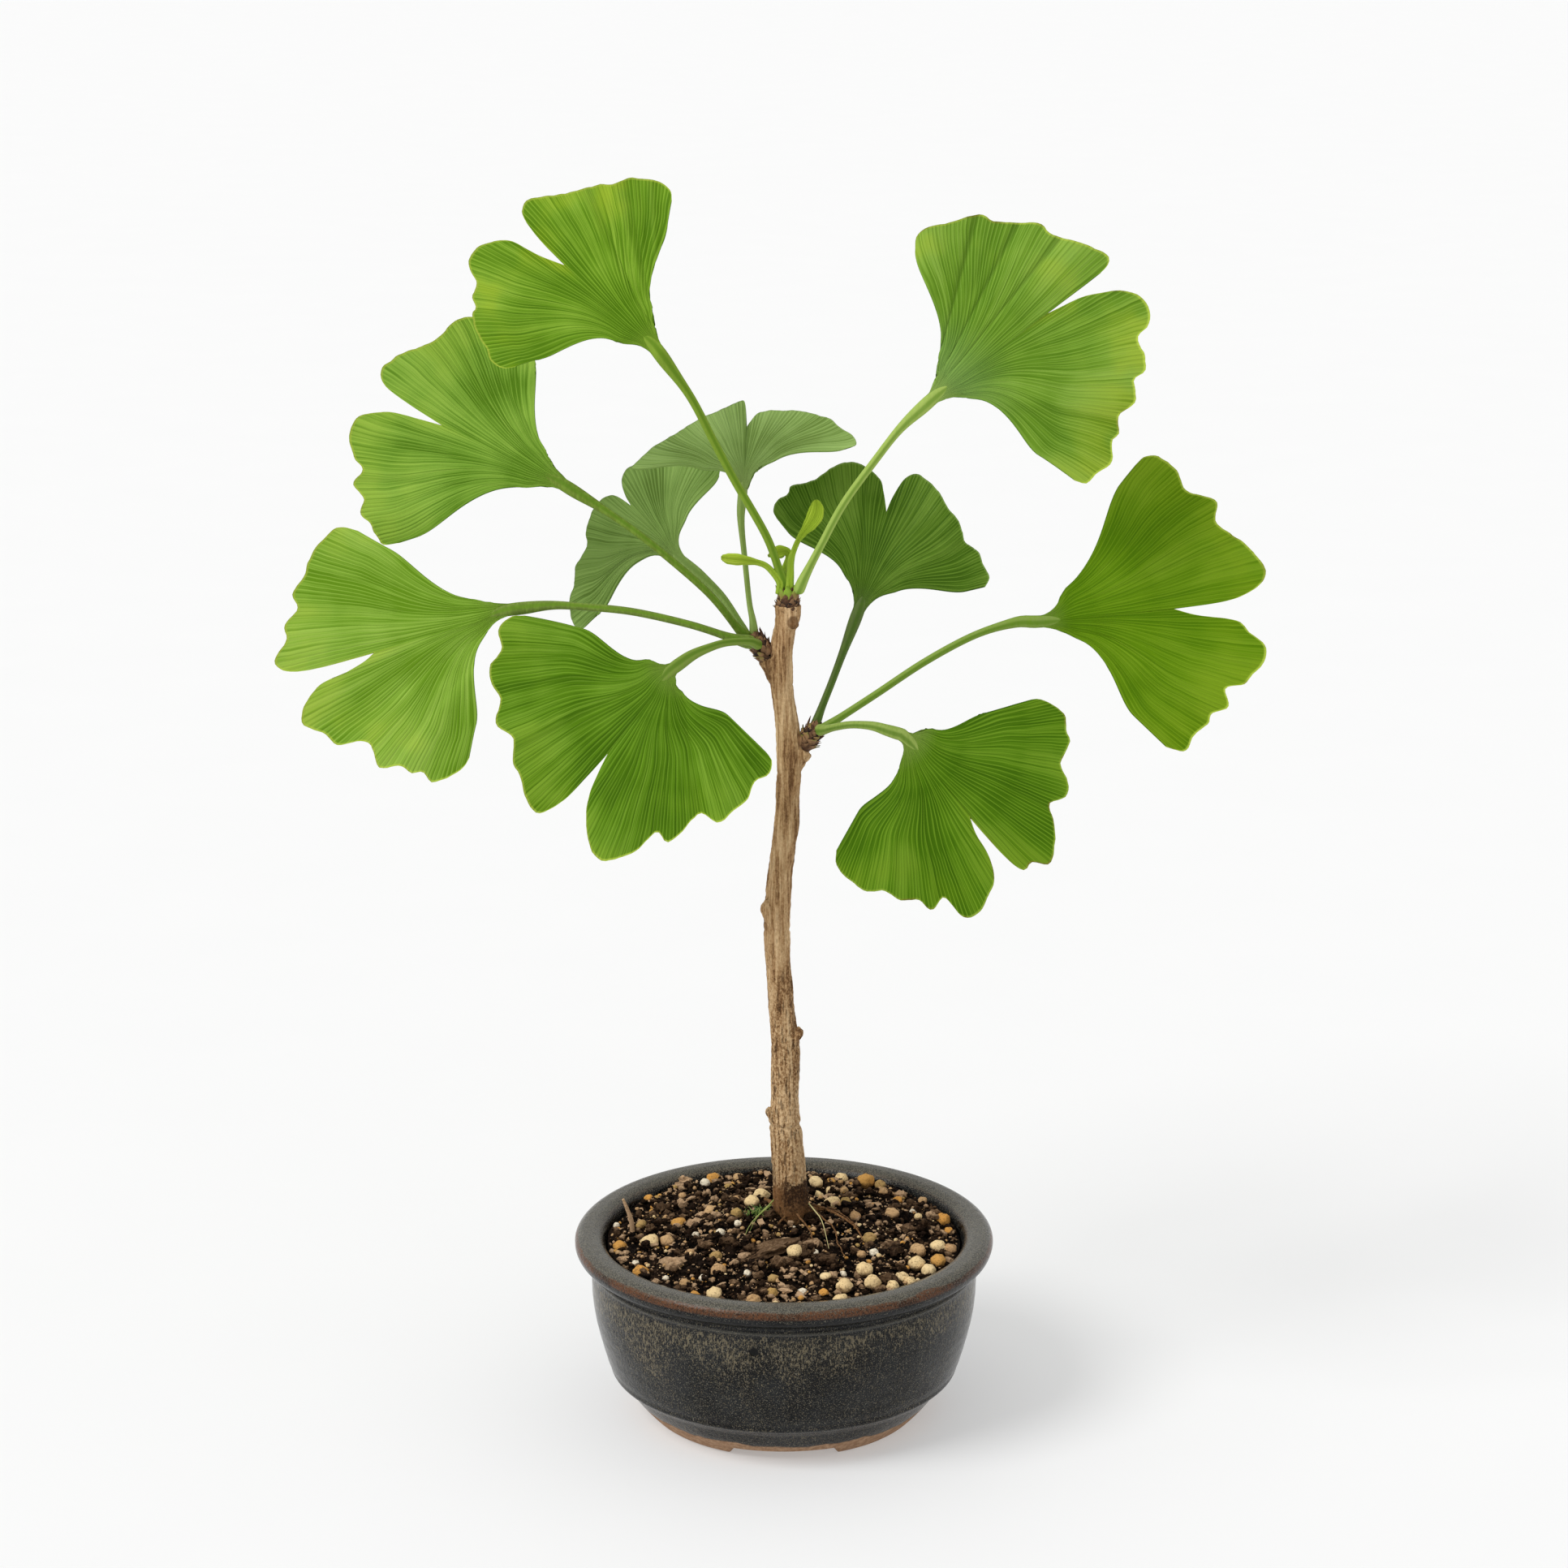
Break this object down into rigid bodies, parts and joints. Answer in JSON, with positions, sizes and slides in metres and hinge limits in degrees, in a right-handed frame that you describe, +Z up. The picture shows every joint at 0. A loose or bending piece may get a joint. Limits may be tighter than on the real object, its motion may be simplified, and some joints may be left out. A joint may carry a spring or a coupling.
{
  "type": "ginkgo bonsai",
  "caption": "Young ginkgo tree with fan-shaped leaves on a thin woody trunk, growing in soil in a round glazed pot on low feet.",
  "frame": {"origin": "middle of the pot's underside, on the ground", "axes": "+Z up along the trunk, the tree's front faces -Y, +X to the viewer's right"},
  "size_m": [0.2316, 0.1022, 0.3007],
  "materials": {
    "glaze": "dark slate glaze, satin gloss",
    "soil": "loose dark soil with pale granules",
    "bark": "fibrous tan bark",
    "bud_scales": "dry brown scales",
    "leaf": "satin green leaf",
    "leaf_bright": "satin yellow-green leaf",
    "leaf_pale": "matt pale green leaf",
    "leaf_dark": "satin dark green leaf"
  },
  "bodies": {
    "root": {"pot": "glaze", "soil": "soil", "trunk": "bark", "spur_left": "bud_scales", "spur_right": "bud_scales", "spur_top": "bud_scales", "leaf_top_left": "leaf_bright", "leaf_top_right": "leaf", "leaf_upper_left": "leaf", "leaf_left": "leaf_bright", "leaf_lower_left": "leaf", "leaf_lower_right": "leaf", "leaf_right": "leaf", "leaf_back_right": "leaf_dark", "leaf_back_top": "leaf_pale", "leaf_back_left": "leaf_pale", "young_leaf_upright": "leaf_bright", "young_leaf_round": "leaf_bright", "young_leaf_rolled": "leaf_bright"}
  },
  "joints": []
}
